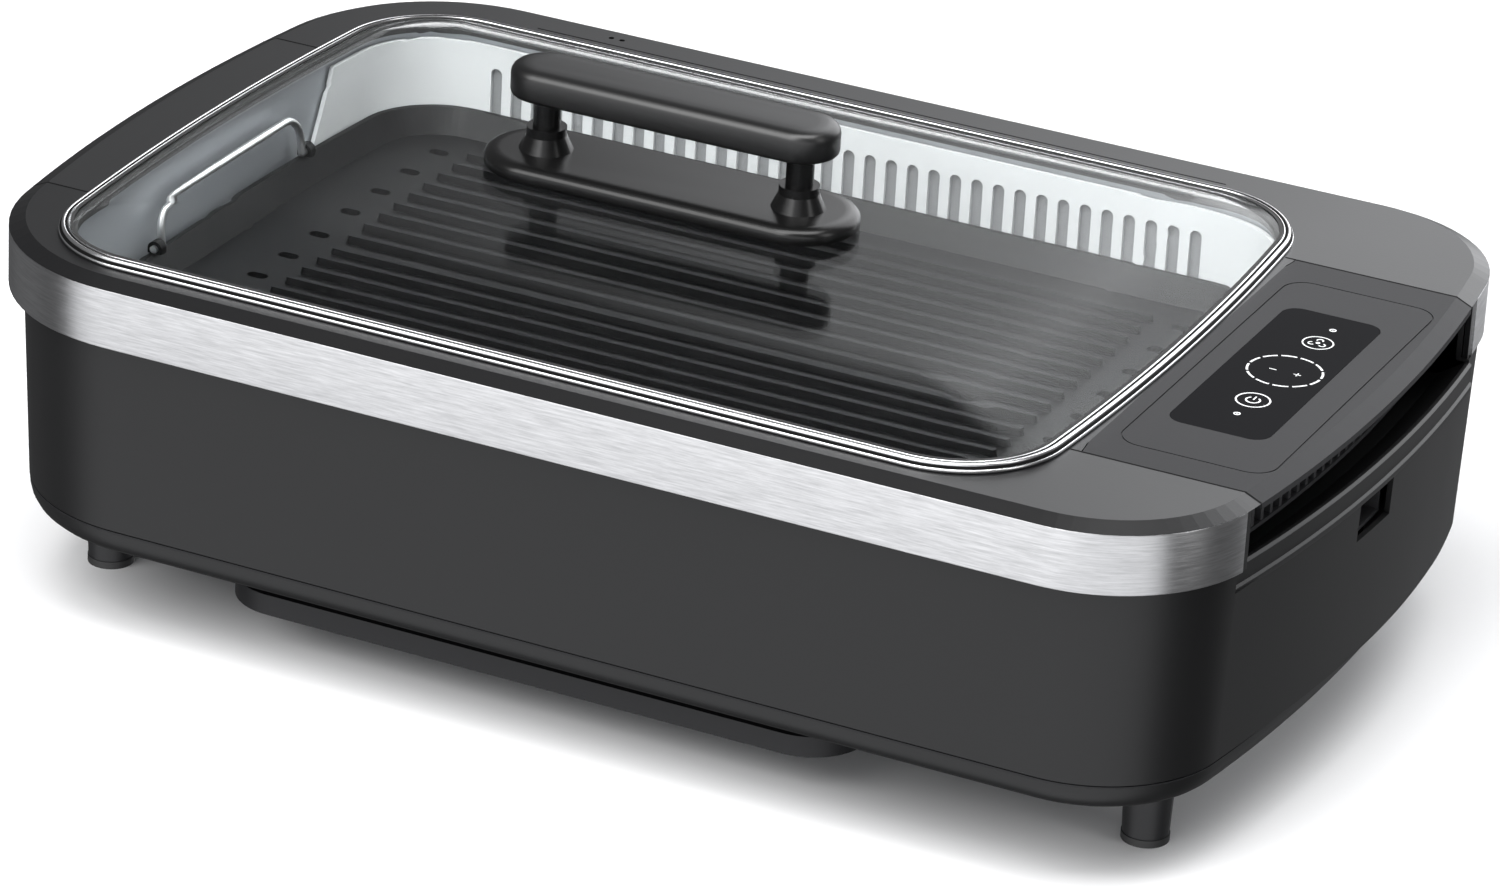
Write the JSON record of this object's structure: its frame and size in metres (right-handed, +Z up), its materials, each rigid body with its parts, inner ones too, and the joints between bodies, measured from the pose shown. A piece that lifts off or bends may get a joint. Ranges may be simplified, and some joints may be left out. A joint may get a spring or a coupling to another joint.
{
  "type": "electric indoor grill with lid",
  "caption": "Countertop electric grill with a lift-off domed glass lid, a ribbed grill plate, a drip tray, a touch panel and a built-in smoke fan with a rear air intake",
  "frame": {"origin": "on the table, under the middle of the body's outline seen from above", "axes": "+X along the length towards the touch panel, +Y across towards the air intake at the back, +Z up"},
  "size_m": [0.54, 0.3486, 0.212],
  "materials": {
    "shell_plastic": "fine satin black plastic",
    "base_plastic": "plain dark plastic",
    "panel_plastic": "fine satin dark grey plastic",
    "foot_plastic": "matt black",
    "rubber": "soft black silicone rubber",
    "steel_screw": "bright zinc-plated steel",
    "brushed_band": "grain along the length, bright",
    "display_glass": "gloss black with a few white symbols",
    "board_green": "green circuit board",
    "spring_metal": "plated spring metal",
    "dark_plastic": "black plastic",
    "sheet_metal": "aluminised sheet",
    "motor_metal": "plated motor can",
    "relay_blue": "blue relay case",
    "foil_yellow": "yellow film capacitor",
    "ceramic": "off-white ceramic",
    "element_metal": "dark oxidised steel tube",
    "heat_plastic": "black heat-resistant plastic",
    "probe_metal": "plain steel",
    "cast_coating": "dark non-stick coating, slightly glossy",
    "wire_chrome": "bright plated wire",
    "intake_metal": "light satin metal",
    "filter_mesh": "fine woven mesh pad",
    "rim_steel": "polished stainless steel",
    "clear_glass": "clear tempered glass",
    "handle_black": "smooth black",
    "grip_satin": "satin black, greyer on top"
  },
  "bodies": {
    "base": {"lower_housing": "shell_plastic", "bottom_cover": "base_plastic", "base_sump": "base_plastic", "feet": "foot_plastic", "foot_pads": "rubber", "base_screws": "steel_screw", "steel_band": "brushed_band", "top_frame": "shell_plastic", "side_grip": "panel_plastic", "control_panel": "panel_plastic", "touch_display": "display_glass", "control_board": "board_green", "touch_springs": "spring_metal", "exhaust_grille": "dark_plastic", "well_wall": "sheet_metal", "well_shoulder": "sheet_metal", "well_pan": "sheet_metal", "air_duct": "dark_plastic", "duct_leg": "dark_plastic", "fan_housing": "dark_plastic", "fan_motor": "motor_metal", "power_board": "board_green", "power_relay": "relay_blue", "power_capacitor": "foil_yellow", "inlet_socket": "dark_plastic", "inlet_pins": "spring_metal", "element_socket": "ceramic"},
    "fan_rotor": {"fan_wheel": "dark_plastic", "fan_shaft": "steel_screw"},
    "tray": {"drip_tray": "sheet_metal"},
    "heater": {"element_brackets": "sheet_metal", "heating_element": "element_metal", "element_plug": "heat_plastic", "thermostat_probe": "probe_metal"},
    "grill": {"grill_plate": "cast_coating", "plate_ears": "cast_coating"},
    "handle_left": {"bail_left": "wire_chrome"},
    "handle_right": {"bail_right": "wire_chrome"},
    "intake": {"intake_grille": "intake_metal", "intake_filter": "filter_mesh"},
    "lid": {"lid_rim": "rim_steel", "lid_gasket": "rubber", "lid_glass": "clear_glass", "handle_plate": "handle_black", "handle_posts": "handle_black", "handle_collars": "handle_black", "handle_grip": "grip_satin", "handle_screws": "steel_screw", "handle_washers": "rubber"}
  },
  "joints": [
    {"name": "lid_lift", "type": "slide", "parent": "base", "child": "lid", "axis": [0, 0, 1], "range_m": [0, 0.36]},
    {"name": "plate_lift", "type": "slide", "parent": "base", "child": "grill", "axis": [0, 0, 1], "range_m": [0, 0.27]},
    {"name": "intake_lift", "type": "slide", "parent": "base", "child": "intake", "axis": [0, 0, 1], "range_m": [0, 0.2]},
    {"name": "heater_lift", "type": "slide", "parent": "base", "child": "heater", "axis": [0, 0, 1], "range_m": [0, 0.2]},
    {"name": "tray_lift", "type": "slide", "parent": "base", "child": "tray", "axis": [0, 0, 1], "range_m": [0, 0.13]},
    {"name": "handle_left_fold", "type": "hinge", "parent": "grill", "child": "handle_left", "pos_m": [-0.2263, -0.0092, 0.1222], "axis": [0, 1, 0], "range_deg": [0, 85]},
    {"name": "handle_right_fold", "type": "hinge", "parent": "grill", "child": "handle_right", "pos_m": [0.1765, -0.0092, 0.1222], "axis": [0, -1, 0], "range_deg": [0, 85]},
    {"name": "fan_spin", "type": "hinge", "parent": "base", "child": "fan_rotor", "pos_m": [0.222, 0.05, 0.086], "axis": [0, 1, 0], "continuous": true}
  ],
  "couplings": [
    {"joint": "plate_lift", "follows": "lid_lift", "ratio": 0.75},
    {"joint": "intake_lift", "follows": "lid_lift", "ratio": 0.55},
    {"joint": "heater_lift", "follows": "lid_lift", "ratio": 0.55},
    {"joint": "tray_lift", "follows": "lid_lift", "ratio": 0.36}
  ]
}
